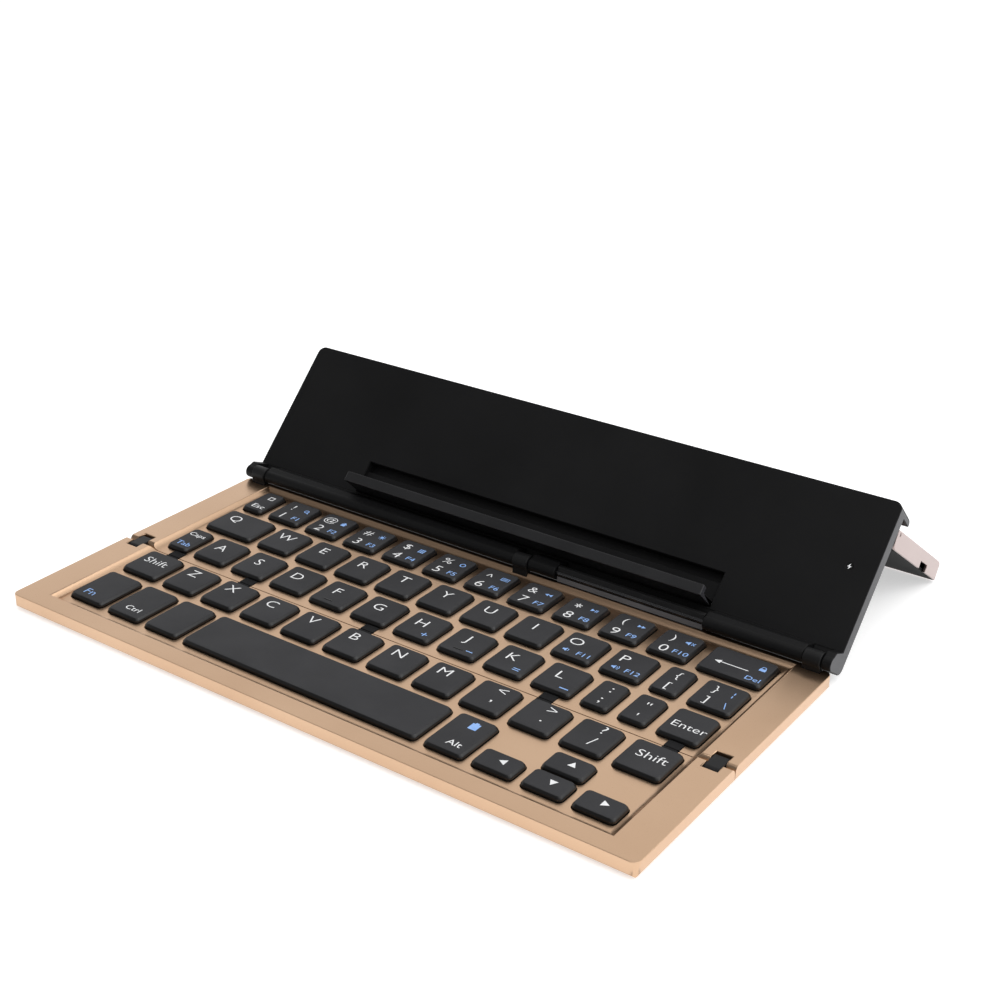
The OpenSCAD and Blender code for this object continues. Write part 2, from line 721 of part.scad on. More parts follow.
module cable_duct() color(BLACK) keyboard() {
    difference() {
        along_x(duct_x, duct_x + duct_len) polygon([
            [duct_front, 0], [duct_front, hinge_z + duct_step], [hinge_y, hinge_z + duct_top],
            [hinge_y + duct_slant, hinge_z + duct_top], [hinge_y + duct_rear, hinge_z + duct_slant],
            [hinge_y + duct_rear, hinge_z - duct_slant], [rear_edge, 0]
        ]);
        rod_x(duct_x - 1, duct_x + duct_len + 1, hinge_y, hinge_z, hinge_pin_r + fix_gap);
    }
    intersection() {
        duct_tongue(0);
        box([0, 0, -far], [width, far, eps]);
    }
}

// ---------- Cover ----------

module cover_profile() {
    difference() {
        translate([-cover_tail, back_t]) square([cover_len + cover_tail, cover_t]);
        translate([-cover_tail, back_t]) corner_cut(tail_edge_r);
    }
    translate([spine_s, spine_t]) square([cover_len - spine_s, face_t - spine_t]);
}

module barrel_profile() {
    circle(barrel_r);
    polygon([
        [-cover_tail, face_t - 1], [-barrel_r, 0], [0, barrel_r], [barrel_r * 0.72, barrel_r * 0.69],
        [web_s - 2, barrel_r * 0.3], [web_s, face_t], [web_s, face_t - 1]
    ]);
}

// Where the cover has no barrel: at the ears and at the cable duct
barrel_breaks = concat([for (x = ear_x) [x, x + ear_w]], [[duct_x, duct_x + duct_len]]);

module cover_front() color(BLACK) in_cover() difference() {
    union() {
        intersection() {
            along_x(0, width) cover_profile();
            translate([0, -cover_tail, spine_t - 1]) linear_extrude(far) difference() {
                square([width, cover_len + cover_tail]);
                for (side = [0, 1]) translate([side * width, cover_len + cover_tail])
                    mirror([side, 0]) mirror([0, 1]) corner_cut(cover_corner_r);
            }
        }
        difference() {
            along_x(0, width) barrel_profile();
            for (b = barrel_breaks)
                box([b[0] - side_gap, -far / 4, face_t - eps], [b[1] + side_gap, far / 4, far / 4]);
        }
    }
    // The room inside, around the block that the ledge folds into and around the screw bosses
    difference() {
        box([cover_side, cavity_s, back_t - 1], [width - cover_side, spine_s - fit_gap, inside_t]);
        box([ledge_x - ledge_block, 0, plate_t], [ledge_x + ledge_len + ledge_block,
            folded_end + ledge_block, face_t]);
        for (p = cover_screw_spots) translate([p[0], p[1], plate_t]) cylinder(h = cover_t, r = screw_boss_r);
    }
    // Relief of the face below the ears and the cable duct
    for (b = barrel_breaks)
        box([b[0] - side_gap, -far / 4, face_t - break_relief], [b[1] + side_gap, web_s, face_t + 1]);
    // The seat of the folded ledge, with the groove for its lip
    box([ledge_x - side_gap, ledge_pivot_s - ledge_r - slit, ledge_pivot_t - ledge_r - fit_gap],
        [ledge_x + ledge_len + side_gap, folded_end + slit, face_t + 1]);
    box([ledge_x - side_gap, groove_start - slit, plate_t - 1],
        [ledge_x + ledge_len + side_gap, folded_end + slit, face_t]);
    for (x = [ledge_x, ledge_x + ledge_len])
        rod_x(x - ledge_pin_len / 2 - fit_gap, x + ledge_pin_len / 2, ledge_pivot_s, ledge_pivot_t,
            ledge_pin_r + fix_gap);
    rod_x(pin_end, width - pin_end, 0, 0, hinge_pin_r + run_gap);
    translate([lens_x, lens_s, inside_t - 1]) cylinder(h = cover_wall + 2, r = lens_r + fix_gap);
    charge_cut();
    slider_cut();
    for (p = cover_screw_spots) translate([p[0], p[1], plate_t - eps])
        cylinder(h = cover_screw_len - cover_wall + side_gap, r = screw_r + fix_gap);
}

screw_boss_r = 2;
cover_screw_len = 1.8;
// Lower screws below the ledge's seat, upper ones between the boards and the battery
cover_screw_side = 30;
lower_screw_s = cavity_s + screw_boss_r + 0.6;
upper_screw_s = bay_s + screw_boss_r + 0.9;
cover_screw_spots = concat(
    [for (x = [cover_screw_side, width / 2, width - cover_screw_side]) [x, lower_screw_s]],
    [[(cover_side + board_w + battery_x) / 2, upper_screw_s],
     [(battery_x + battery_w + lens_x - lamp_board[0]) / 2, upper_screw_s]]
);

module cover_back() color(BLACK) in_cover() {
    difference() {
        box([cover_side + fit_gap, cavity_s + fit_gap, back_t],
            [width - cover_side - fit_gap, spine_s - 2 * fit_gap, plate_t]);
        for (p = cover_screw_spots) translate([p[0], p[1], back_t - eps]) {
            cylinder(h = cover_t, r = screw_r + fix_gap);
            cylinder(h = screw_head_h + eps, r = screw_head_r + fix_gap);
        }
    }
    for (x = lug_x) difference() {
        along_x(x, x + lug_w) {
            translate([stand_s, stand_t_pos]) circle(stand_skin);
            translate([stand_s - lug_neck / 2, stand_t_pos]) square([lug_neck, back_t - stand_t_pos + eps]);
        }
        rod_x(x - 1, x + lug_w + 1, stand_s, stand_t_pos, stand_pin_r + run_gap);
    }
    // Stops that hold the open stand
    for (x = [width / 4, width * 3 / 4])
        box([x - stop_w / 2, stop_s - stop_d / 2, stop_t],
            [x + stop_w / 2, stop_s + stop_d / 2, back_t + eps]);
}

module cover_screws() color(STEEL) in_cover() for (p = cover_screw_spots) translate([p[0], p[1], back_t]) {
    cylinder(h = screw_head_h, r = screw_head_r);
    cylinder(h = cover_screw_len, r = screw_r);
}

inside_h = inside_t - plate_t;
board_t = 0.6;
board_d = 26;
module battery() color([0.62, 0.66, 0.70]) in_cover()
    rounded_slab(battery_x, bay_s, battery_w, battery_d, plate_t, inside_h - 0.4, 1.2);

CHIPS = [[22, 8, 8], [36, 15, 6], [38, 5, 4]];
chip_h = 0.9;

// The main board with its controller, radio module and power chip, and the small board of the lamp
module circuit_boards() color([0.10, 0.32, 0.20]) in_cover() {
    box([cover_side + side_gap, bay_s, plate_t], [cover_side + board_w, bay_s + board_d, plate_t + board_t]);
    for (c = CHIPS) box([c[0], bay_s + c[1], plate_t + board_t],
        [c[0] + c[2], bay_s + c[1] + c[2], plate_t + board_t + chip_h]);
    box([lens_x - lamp_board[0], lens_s - lamp_board[1], plate_t],
        [width - cover_side - side_gap, lens_s + lamp_board[1], plate_t + board_t]);
    translate([lens_x, lens_s, plate_t + board_t]) cylinder(h = inside_h - board_t - fit_gap, r = lamp_r);
}

socket_w = 7.5;
socket_h = 2.3;
socket_d = 5.2;
socket_in_bay = 14;
socket_s = bay_s + socket_in_bay;
module charge_cut() {
    box([-1, socket_s - fit_gap, plate_t + board_t - fit_gap],
        [cover_side + 1, socket_s + socket_w + fit_gap, plate_t + board_t + socket_h + fit_gap]);
}

module charge_socket() color(STEEL) in_cover() difference() {
    box([0.4, socket_s, plate_t + board_t],
        [0.4 + socket_d, socket_s + socket_w, plate_t + board_t + socket_h]);
    box([-1, socket_s + 0.3, plate_t + board_t + 0.3],
        [socket_d - 0.6, socket_s + socket_w - 0.3, plate_t + board_t + socket_h - 0.3]);
}

slider_travel = 2;
slider_len = 3;
slider_h = 1.4;
slider_s = bay_s + 3;
slider_t = plate_t + board_t + 0.5;
module slider_cut() {
    box([-1, slider_s - fit_gap, slider_t - fit_gap],
        [cover_side + 1, slider_s + slider_len + slider_travel + fit_gap, slider_t + slider_h + fit_gap]);
}

module power_slider() color(KEY_GREY) in_cover()
    box([0.2, slider_s, slider_t], [cover_side + 1.6, slider_s + slider_len, slider_t + slider_h]);

lens_r = 1.1;
lamp_r = 1.4;
module charge_lens() color([0.85, 0.88, 0.92]) in_cover() translate([lens_x, lens_s, inside_t])
    cylinder(h = cover_wall - 0.05, r = lens_r);

// ---------- Tablet ledge ----------

module tablet_ledge() color(BLACK) in_cover() difference() {
    along_x(ledge_x, ledge_x + ledge_len) {
        translate([ledge_pivot_s, ledge_pivot_t]) circle(ledge_r);
        translate([ledge_pivot_s - ledge_r, ledge_pivot_t])
            square([ledge_floor_t, lip_end - ledge_pivot_t]);
        translate([ledge_pivot_s - ledge_r, lip_start]) square([ledge_floor_t + lip_h, lip_t]);
    }
    for (x = [ledge_x, ledge_x + ledge_len])
        rod_x(x - ledge_pin_len / 2, x + ledge_pin_len / 2 + fit_gap, ledge_pivot_s, ledge_pivot_t,
            ledge_pin_r + run_gap);
}

module ledge_pins() color(STEEL) in_cover() for (x = [ledge_x, ledge_x + ledge_len])
    rod_x(x - ledge_pin_len / 2, x + ledge_pin_len / 2, ledge_pivot_s, ledge_pivot_t, ledge_pin_r);

// ---------- Stand ----------

// Side view of the stand, drawn in by some distance. The heel is rounded to turn clear of the cover
module stand_profile(in) {
    r = stand_edge_r - in;
    difference() {
        translate([-stand_heel, stand_inner]) square([stand_heel + stand_len - in, stand_t - in]);
        translate([stand_len - in, stand_skin - in]) rotate(180) corner_cut(r);
        translate([-stand_heel, stand_inner]) corner_cut(stand_heel);
    }
}

module stand_shell() color(GOLD) in_stand() difference() {
    union() {
        difference() {
            intersection() {
                along_x(stand_inset, width - stand_inset) stand_profile(0);
                translate([0, -stand_heel, -far / 2]) linear_extrude(far) difference() {
                    translate([stand_inset, 0]) square([width - 2 * stand_inset, stand_heel + stand_len]);
                    for (side = [0, 1])
                        translate([side ? width - stand_inset : stand_inset, stand_heel + stand_len])
                            mirror([side, 0]) mirror([0, 1]) corner_cut(cover_corner_r);
                }
            }
            translate([0, 0, -eps]) along_x(stand_inset + stand_wall, width - stand_inset - stand_wall)
                union() {
                    stand_profile(stand_wall);
                    translate([-far, stand_inner - 1]) square([far, stand_t + 1 - stand_wall]);
                    translate([0, stand_inner - 1]) square([stand_len - stand_wall, 1 + eps]);
                }
        }
        for (x = lug_x, side = [0, 1])
            rod_x(side ? x + lug_w + side_gap : x - side_gap - knuckle_len,
                side ? x + lug_w + side_gap + knuckle_len : x - side_gap, 0, 0, stand_skin);
    }
    for (x = lug_x) box([x - side_gap, -far / 4, -far / 4], [x + lug_w + side_gap, lug_notch, far / 4]);
    stand_pin_rods(stand_pin_r + fix_gap, fit_gap);
    box([width - stand_inset - stand_wall - 1, notch_u, stand_inner - 1],
        [width, notch_u + notch_len, stand_inner + notch_d]);
}

module stand_pin_rods(r, past) {
    pin_len = lug_inset + lug_w + knuckle_len - stand_inset;
    rod_x(stand_inset - past, stand_inset + pin_len + past, 0, 0, r);
    rod_x(width - stand_inset - pin_len - past, width - stand_inset + past, 0, 0, r);
}

module stand_pins() color(STEEL) in_stand() stand_pin_rods(stand_pin_r, -side_gap);

module stand_liner() color(BLACK) in_stand()
    box([stand_inset + stand_wall + fit_gap, liner_start, stand_inner],
        [width - stand_inset - stand_wall - fit_gap, stand_len - stand_wall - fit_gap,
            stand_inner + liner_t]);

// ---------- Keys ----------

module keycap(k) {
    bottom = key_top_z - key_h;
    slope = key_taper / key_h * 2;
    difference() {
        intersection() {
            rounded_slab(k[0], k[1], k[2], k[3], bottom, key_h, key_corner_r);
            along_x(0, width) polygon([
                [k[1], bottom - 1], [k[1], bottom + key_h / 2], [k[1] + key_taper, key_top_z],
                [k[1] + k[3] - key_taper, key_top_z], [k[1] + k[3], bottom + key_h / 2],
                [k[1] + k[3], bottom - 1]
            ]);
            along_y(k[1] - 1, k[1] + k[3] + 1) polygon([
                [k[0], bottom - 1], [k[0], bottom + key_h / 2], [k[0] + key_taper, key_top_z],
                [k[0] + k[2] - key_taper, key_top_z], [k[0] + k[2], bottom + key_h / 2],
                [k[0] + k[2], bottom - 1]
            ]);
        }
        rounded_slab(k[0] + key_wall, k[1] + key_wall, k[2] - 2 * key_wall, k[3] - 2 * key_wall,
            bottom - 1, key_h + 1 - key_top_t, key_corner_r - key_wall + 0.3);
    }
}

module key_node(k) color(KEY_GREY) keyboard()
    for (i = [k[2]:k[3]]) keycap(key_box(k[1], i, k[4]));

echo(total_depth = total_depth, stand_angle = stand_angle, hinge_y = hinge_y, pivot_y = pivot_y,
    pivot_z = pivot_z, fold_y = fold_y, rear_edge = rear_edge);

rear_frame();
rear_base_plate();
rear_support_plate();
rear_membrane();
rear_domes();
rear_scissors();
rear_feet();
rear_screws();
rear_edge_pads();
hinge_ears();
hinge_pin();
cable_duct();
fold_links();
fold_pins();
front_frame();
front_base_plate();
front_support_plate();
front_membrane();
front_domes();
front_scissors();
front_feet();
front_screws();
front_edge_pads();
cover_front();
cover_back();
battery();
circuit_boards();
charge_socket();
charge_lens();
cover_screws();
power_slider();
tablet_ledge();
ledge_pins();
stand_shell();
stand_liner();
stand_pins();
for (k = KEYS) key_node(k);
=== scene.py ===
import math

import bmesh
import bpy
from mathutils import Matrix, Vector


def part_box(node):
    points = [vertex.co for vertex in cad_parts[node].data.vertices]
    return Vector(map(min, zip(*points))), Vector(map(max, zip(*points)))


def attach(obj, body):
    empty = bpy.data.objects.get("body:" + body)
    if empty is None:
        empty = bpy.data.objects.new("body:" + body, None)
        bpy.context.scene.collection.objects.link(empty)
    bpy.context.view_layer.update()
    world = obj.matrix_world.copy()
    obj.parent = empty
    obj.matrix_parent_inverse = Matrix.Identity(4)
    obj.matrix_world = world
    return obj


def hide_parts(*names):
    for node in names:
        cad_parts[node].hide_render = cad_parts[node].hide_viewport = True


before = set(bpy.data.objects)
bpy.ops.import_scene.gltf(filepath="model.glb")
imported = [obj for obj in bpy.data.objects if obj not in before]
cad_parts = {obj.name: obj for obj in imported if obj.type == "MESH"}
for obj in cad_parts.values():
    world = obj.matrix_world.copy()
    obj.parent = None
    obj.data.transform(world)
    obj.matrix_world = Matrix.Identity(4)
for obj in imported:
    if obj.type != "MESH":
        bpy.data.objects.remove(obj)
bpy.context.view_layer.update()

# ---------------------------------------------------------------------------
# The camera looks down on the keyboard from the right of its front, where the
# photograph was taken.
# ---------------------------------------------------------------------------
scene = bpy.context.scene
scene.view_settings.view_transform = "Standard"
camera_data = bpy.data.cameras.new("camera")
camera_data.sensor_width = 36
camera_data.lens = 59.54
camera_data.clip_start = 0.01
camera = bpy.data.objects.new("camera", camera_data)
scene.collection.objects.link(camera)
camera.location = (0.29245, -0.39791, 0.27175)
camera.rotation_euler = (math.radians(64.745), 0, math.radians(36.013))
scene.camera = camera

# ---------------------------------------------------------------------------
# The studio: a white floor that runs out to a white backdrop, and large soft
# lamps above and at the right. The ceiling is dark, which keeps black plastic
# black and draws the edges of the metal.
# ---------------------------------------------------------------------------
MM = 0.001
FLOOR_REACH = 6                        # from the middle to each side, in metres
FLOOR_TONE = 0.76
FLOOR_GLOW = 0.52                      # makes the floor white to the eye
FLOOR_DROP = 0.05 * MM                 # keeps the floor just clear of the feet
SKY_LIGHT = 0.62                       # what the sky gives to the object
BACKDROP_TOP = 0.28                    # height in the sky up to which gloss shows white
CEILING_START = 0.72                   # height in the sky from which it shows the ceiling
BACKDROP_RISE = 0.55                   # how much higher the backdrop is at the back
CEILING_LIGHT = 0.16                   # what gloss shows of the ceiling


def math_node(tree, operation, first, second):
    """One step of arithmetic in a node tree. Either input is a socket or a number."""
    node = tree.nodes.new("ShaderNodeMath")
    node.operation = operation
    for socket, value in zip(node.inputs, (first, second)):
        if isinstance(value, (int, float)):
            socket.default_value = value
        else:
            tree.links.new(value, socket)
    return node.outputs["Value"]


def seen_directly(tree):
    """1 for what the camera, gloss and glass see, 0 for the light that falls on the object."""
    rays = tree.nodes.new("ShaderNodeLightPath").outputs
    eye = math_node(tree, "MAXIMUM", rays["Is Camera Ray"], rays["Is Glossy Ray"])
    return math_node(tree, "MAXIMUM", eye, rays["Is Transmission Ray"])


floor_mesh = bpy.data.meshes.new("floor")
bm = bmesh.new()
bmesh.ops.create_grid(bm, x_segments=1, y_segments=1, size=FLOOR_REACH)
bmesh.ops.translate(bm, verts=bm.verts, vec=(0, 0, -FLOOR_DROP))
bm.to_mesh(floor_mesh)
bm.free()
floor = bpy.data.objects.new("floor", floor_mesh)
scene.collection.objects.link(floor)

floor_white = bpy.data.materials.new("floor_white")
floor_white.use_nodes = True
tree = floor_white.node_tree
floor_shader = tree.nodes["Principled BSDF"]
floor_shader.inputs["Base Color"].default_value = (FLOOR_TONE, FLOOR_TONE, FLOOR_TONE, 1)
floor_shader.inputs["Roughness"].default_value = 0.9
floor_shader.inputs["Specular IOR Level"].default_value = 0.0
glow = tree.nodes.new("ShaderNodeEmission")
glow.inputs["Strength"].default_value = FLOOR_GLOW
glowing = tree.nodes.new("ShaderNodeAddShader")
choice = tree.nodes.new("ShaderNodeMixShader")
tree.links.new(floor_shader.outputs["BSDF"], glowing.inputs[0])
tree.links.new(glow.outputs["Emission"], glowing.inputs[1])
tree.links.new(seen_directly(tree), choice.inputs["Fac"])
tree.links.new(floor_shader.outputs["BSDF"], choice.inputs[1])
tree.links.new(glowing.outputs["Shader"], choice.inputs[2])
tree.links.new(choice.outputs["Shader"], tree.nodes["Material Output"].inputs["Surface"])
floor_mesh.materials.append(floor_white)

world = bpy.data.worlds.new("studio")
scene.world = world
world.use_nodes = True
tree = world.node_tree
sky = tree.nodes["Background"]
sky.inputs["Color"].default_value = (1, 1, 1, 1)
sky.inputs["Strength"].default_value = SKY_LIGHT

# The backdrop is white low down all round and fades into the dark ceiling, further up at the back
way = tree.nodes.new("ShaderNodeTexCoord")
parts = tree.nodes.new("ShaderNodeSeparateXYZ")
tree.links.new(way.outputs["Generated"], parts.inputs["Vector"])
rise = math_node(tree, "MULTIPLY", parts.outputs["Y"], BACKDROP_RISE)
height = math_node(tree, "SUBTRACT", parts.outputs["Z"], rise)
backdrop = tree.nodes.new("ShaderNodeMapRange")
backdrop.interpolation_type = "SMOOTHSTEP"
backdrop.inputs["From Min"].default_value = BACKDROP_TOP
backdrop.inputs["From Max"].default_value = CEILING_START
backdrop.inputs["To Min"].default_value = 1.0
backdrop.inputs["To Max"].default_value = CEILING_LIGHT
tree.links.new(height, backdrop.inputs["Value"])
rays = tree.nodes.new("ShaderNodeLightPath").outputs
mirrored = tree.nodes.new("ShaderNodeBackground")
mirrored.inputs["Color"].default_value = (1, 1, 1, 1)
tree.links.new(math_node(tree, "MAXIMUM", backdrop.outputs["Result"], rays["Is Camera Ray"]),
               mirrored.inputs["Strength"])
choice = tree.nodes.new("ShaderNodeMixShader")
tree.links.new(seen_directly(tree), choice.inputs["Fac"])
tree.links.new(sky.outputs["Background"], choice.inputs[1])
tree.links.new(mirrored.outputs["Background"], choice.inputs[2])
tree.links.new(choice.outputs["Shader"], tree.nodes["World Output"].inputs["Surface"])


def add_lamp(name, place, size, power):
    """A large soft lamp that faces the middle of the keyboard."""
    light = bpy.data.lights.new(name, "AREA")
    light.size = size
    light.energy = power
    lamp = bpy.data.objects.new(name, light)
    scene.collection.objects.link(lamp)
    lamp.location = place
    lamp.rotation_euler = (-Vector(place)).to_track_quat("-Z", "Y").to_euler()


add_lamp("lamp_top", (0.45, -0.05, 1.3), 1.6, 12)
add_lamp("lamp_right", (1.2, 0.3, 0.8), 1.2, 5)

# ---------------------------------------------------------------------------
# The two leaves: shallow trays pressed and milled from aluminium sheet, bead
# blasted and anodised a warm gold. The edges of rim and recess are finely
# rounded, and the windows for the keys are cut through the sunken deck.
# ---------------------------------------------------------------------------
WELD = 0.002 * MM                      # vertices closer than this are one
FLAT_ANGLE = math.radians(0.5)         # faces that meet at less than this are one
SHARP_ANGLE = math.radians(28)         # edges sharper than this are rounded
CREASE_ANGLE = math.radians(36)        # edges sharper than this stay creases
SHORT_EDGE = 0.04 * MM                 # edges shorter than this are left alone
EVERY_LEVEL = (-1.0, 1.0)              # for a rounding that leaves out no height
TONE_STOPS = (0.3, 0.7)                # where a finish is wholly dark, and wholly light


def from_srgb(*levels):
    """The linear colour of red, green and blue as a screen shows them, from 0 to 255."""
    shares = [level / 255 for level in levels]
    return tuple(c / 12.92 if c < 0.04045 else ((c + 0.055) / 1.055) ** 2.4 for c in shares)


def new_material(name, dark, light, roughness, metallic=0.0, grain=2500, patch=30, bump=0.15,
                 rough_swing=0.05, specular=0.5, bump_depth=0.02):
    """A finish whose colour drifts between two tones, with fine grain in its gloss and its surface."""
    material = bpy.data.materials.new(name)
    material.use_nodes = True
    tree = material.node_tree
    shader = tree.nodes["Principled BSDF"]
    shader.inputs["Metallic"].default_value = metallic
    shader.inputs["Specular IOR Level"].default_value = specular
    place = tree.nodes.new("ShaderNodeTexCoord").outputs["Object"]

    drift = tree.nodes.new("ShaderNodeTexNoise")
    drift.inputs["Scale"].default_value = patch
    drift.inputs["Detail"].default_value = 4
    tones = tree.nodes.new("ShaderNodeValToRGB")
    for stop, position, colour in zip(tones.color_ramp.elements, TONE_STOPS, (dark, light)):
        stop.position = position
        stop.color = (*colour, 1)
    tree.links.new(place, drift.inputs["Vector"])
    tree.links.new(drift.outputs["Fac"], tones.inputs["Fac"])
    tree.links.new(tones.outputs["Color"], shader.inputs["Base Color"])

    fine = tree.nodes.new("ShaderNodeTexNoise")
    fine.inputs["Scale"].default_value = grain
    fine.inputs["Detail"].default_value = 2
    gloss = tree.nodes.new("ShaderNodeMapRange")
    gloss.inputs["To Min"].default_value = roughness - rough_swing
    gloss.inputs["To Max"].default_value = roughness + rough_swing
    relief = tree.nodes.new("ShaderNodeBump")
    relief.inputs["Strength"].default_value = bump
    relief.inputs["Distance"].default_value = bump_depth * MM
    tree.links.new(place, fine.inputs["Vector"])
    tree.links.new(fine.outputs["Fac"], gloss.inputs["Value"])
    tree.links.new(gloss.outputs["Result"], shader.inputs["Roughness"])
    tree.links.new(fine.outputs["Fac"], relief.inputs["Height"])
    tree.links.new(relief.outputs["Normal"], shader.inputs["Normal"])
    return material


def add_piece(mesh_or_bmesh, name, body, materials):
    """Makes an object of a finished mesh and lets it ride on its body."""
    mesh = mesh_or_bmesh
    if isinstance(mesh_or_bmesh, bmesh.types.BMesh):
        mesh = bpy.data.meshes.new(name)
        mesh_or_bmesh.to_mesh(mesh)
        mesh_or_bmesh.free()
    piece = bpy.data.objects.new(name, mesh)
    bpy.context.scene.collection.objects.link(piece)
    for material in materials:
        mesh.materials.append(material)
    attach(piece, body)
    return piece


def dress(node, name, body, materials, bands, segments=2):
    """Stands a welded copy with rounded edges in the place of a node.

    A band is a lowest and a highest level and the width by which outward edges wholly between them are
    rounded. One number rounds all of them.
    """
    if isinstance(bands, float):
        bands = [(*EVERY_LEVEL, bands)]
    bm = bmesh.new()
    bm.from_mesh(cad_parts[node].data)
    bmesh.ops.remove_doubles(bm, verts=bm.verts, dist=WELD)
    bmesh.ops.dissolve_limit(bm, angle_limit=FLAT_ANGLE, verts=bm.verts, edges=bm.edges)
    for low, high, width in bands:
        edges = [e for e in bm.edges if e.calc_face_angle_signed(0) > SHARP_ANGLE
                 and e.calc_length() > SHORT_EDGE
                 and low < min(v.co.z for v in e.verts) and max(v.co.z for v in e.verts) < high]
        bmesh.ops.bevel(bm, geom=edges, offset=width, segments=segments, affect="EDGES", profile=0.5,
                        clamp_overlap=False, miter_outer="ARC")
    for face in bm.faces:
        face.smooth = True
        face.material_index = 0
    for edge in bm.edges:
        edge.smooth = edge.calc_face_angle(0) < CREASE_ANGLE
    piece = add_piece(bm, name, body, materials)
    level = piece.modifiers.new("level_faces", "WEIGHTED_NORMAL")
    level.keep_sharp = True
    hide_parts(node)
    return piece


def finish_node(node, material):
    """Gives a node that keeps its own mesh one material."""
    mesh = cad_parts[node].data
    mesh.materials.clear()
    mesh.materials.append(material)


gold = new_material("gold_anodised", from_srgb(200, 166, 136), from_srgb(212, 179, 149), 0.30, metallic=1.0,
                    grain=5200, patch=16, bump=0.35, rough_swing=0.06, bump_depth=0.012)
DECK_LEVEL = 4.0 * MM                  # just below the deck
RIM_LEVEL = 5.95 * MM                  # just below the rim
TRAY_EDGES = [(DECK_LEVEL, RIM_LEVEL, 0.10 * MM), (RIM_LEVEL, 1.0, 0.32 * MM)]
for leaf in ("front", "rear"):
    dress(leaf + "_frame", leaf + "_tray", leaf + "_leaf", [gold], TRAY_EDGES)

# ---------------------------------------------------------------------------
# What closes each leaf from below: a thin anodised plate, four countersunk
# screws and four round feet of black rubber, glued on. A steel plate inside
# carries the keys, and small rubber pads sit in the fold edge.
# ---------------------------------------------------------------------------
steel = new_material("plain_steel", (0.50, 0.51, 0.53), (0.60, 0.61, 0.62), 0.30, metallic=1.0, grain=3000,
                     patch=60, bump=0.1)
rubber = new_material("black_rubber", (0.006, 0.006, 0.0065), (0.011, 0.011, 0.012), 0.72, grain=3500,
                      patch=80, bump=0.35, specular=0.15)
for leaf in ("front", "rear"):
    finish_node(leaf + "_base_plate", gold)
    finish_node(leaf + "_screws", steel)
    finish_node(leaf + "_support_plate", steel)
    dress(leaf + "_feet", leaf + "_rubber_feet", leaf + "_leaf", [rubber], 0.25 * MM, 3)
    dress(leaf + "_edge_pads", leaf + "_fold_pads", leaf + "_leaf", [rubber], 0.15 * MM)

# ---------------------------------------------------------------------------
# Under the keys: a printed polyester membrane, a soft silicone dome for each
# key and the two nested frames of its white scissor mechanism.
# ---------------------------------------------------------------------------
film = new_material("printed_film", (0.30, 0.38, 0.32), (0.42, 0.50, 0.42), 0.35, grain=1200, patch=220,
                    bump=0.05)
silicone = new_material("silicone", (0.55, 0.55, 0.50), (0.65, 0.65, 0.60), 0.45, grain=900, patch=150,
                        bump=0.1)
white_plastic = new_material("white_moulding", (0.62, 0.62, 0.58), (0.72, 0.72, 0.69), 0.5, grain=1500,
                             patch=90)
for leaf in ("front", "rear"):
    finish_node(leaf + "_membrane", film)
    finish_node(leaf + "_domes", silicone)
    finish_node(leaf + "_scissors", white_plastic)

# ---------------------------------------------------------------------------
# The keys: moulded caps with a square skirt, a sloped shoulder and a flat top
# with softly rounded edges. Tops are matt dark grey; skirts and shoulders are smoother and
# painted near black, a painted shade for the sides turned from the light. The legends are
# printed in white and light blue.
# ---------------------------------------------------------------------------
TINY = 0.01 * MM
KEY_GAP = 3.7 * MM
KEY_CORNER = 1.6 * MM
KEY_SHOULDER = 1.25 * MM       # height of the skirt below the sloped shoulder
KEY_SLOPE = 0.66 * MM          # how far the top is set in
KEY_TOP_EDGE = 0.28 * MM
KEY_SHOULDER_EDGE = 0.25 * MM
KEY_WALL = 1.0 * MM
INK = 0.03 * MM                # thickness of the printed ink
CAP_HEIGHT = 4.2               # height of a letter, in millimetres
LETTER_STRETCH = 1.2           # the lettering is a little wider than the font,
STROKE_TRIM = 0.009            # and its strokes a little lighter,
SMALL_PRINT = 3.0 * MM         # but not in words smaller than this
BUMP_HEIGHT = 0.2 * MM         # of the bars that the forefingers feel
CAPITAL_SHARE = 0.729          # height of a capital in the font, against its size
TOP_FACING = 0.75              # a face that looks up more than this belongs to the top
DOWN_FACING = -0.9             # and one that looks down more than this to the underside
TOP, SKIRT, WHITE, BLUE = range(4)

key_top = new_material("key_top", from_srgb(47, 47, 49), from_srgb(55, 55, 57), 0.62, grain=4200, patch=55,
                       bump=0.30, specular=0.2, bump_depth=0.015)
key_skirt = new_material("key_skirt", from_srgb(12, 12, 13), from_srgb(20, 20, 21), 0.34, grain=2500,
                         patch=70, bump=0.1, specular=0.45)
white_ink = new_material("white_ink", (0.74, 0.75, 0.76), (0.84, 0.84, 0.85), 0.55, grain=3000, patch=400,
                         bump=0.05)
blue_ink = new_material("blue_ink", from_srgb(128, 168, 228), from_srgb(147, 184, 238), 0.55, grain=3000,
                        patch=400, bump=0.05)
KEY_MATERIALS = [key_top, key_skirt, white_ink, blue_ink]


